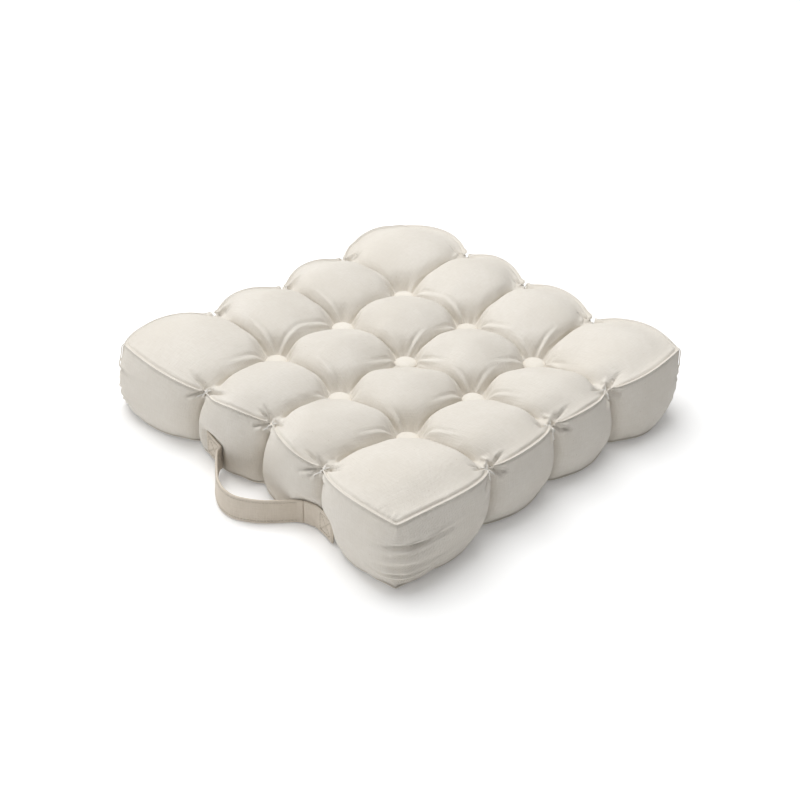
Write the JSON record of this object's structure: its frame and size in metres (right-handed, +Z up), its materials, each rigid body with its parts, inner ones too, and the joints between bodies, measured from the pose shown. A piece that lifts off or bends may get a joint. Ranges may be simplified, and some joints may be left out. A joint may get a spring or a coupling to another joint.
{
  "type": "chair seat pad",
  "caption": "Square tufted chair seat pad in cotton canvas, drawn in by covered buttons and edge ties, with a carrying handle on one side.",
  "frame": {"origin": "middle of the flat underside, on the surface that the pad rests on", "axes": "+Z up through the thickness, -Y towards the side that carries the handle, +X to the right as the handle is faced"},
  "size_m": [0.4748, 0.5181, 0.1074],
  "materials": {
    "cover_canvas": "unbleached cotton canvas, plain weave, matt",
    "button_canvas": "fine cotton canvas pulled tight over a shell",
    "handle_canvas": "cotton canvas strip folded and topstitched",
    "sewing_thread": "spun cotton thread",
    "tufting_twine": "white waxed cotton twine",
    "cotton_wadding": "loose cotton fibre",
    "button_steel": "plated pressed steel"
  },
  "bodies": {
    "cushion": {"top_panel": "cover_canvas", "base_panel": "cover_canvas", "side_band_front_right": "cover_canvas", "side_band_back_left": "cover_canvas", "lower_wadding": "cotton_wadding", "middle_wadding": "cotton_wadding", "upper_wadding": "cotton_wadding", "top_button_covers": "button_canvas", "top_button_shells": "button_steel", "top_button_backs": "button_steel", "base_button_covers": "button_canvas", "base_button_shells": "button_steel", "base_button_backs": "button_steel", "tufting_twines": "tufting_twine", "edge_twines": "tufting_twine", "edge_tie_tails": "tufting_twine", "top_seam_thread": "sewing_thread", "base_seam_thread": "sewing_thread", "band_seam_threads": "sewing_thread", "handle_ends": "handle_canvas", "handle_stitching": "sewing_thread"},
    "handle": {"handle_strap": "handle_canvas"}
  },
  "joints": [
    {"name": "handle_swing", "type": "hinge", "parent": "cushion", "child": "handle", "pos_m": [0.01, -0.233, 0.03], "axis": [-1, 0, 0], "range_deg": [0, 85]}
  ]
}
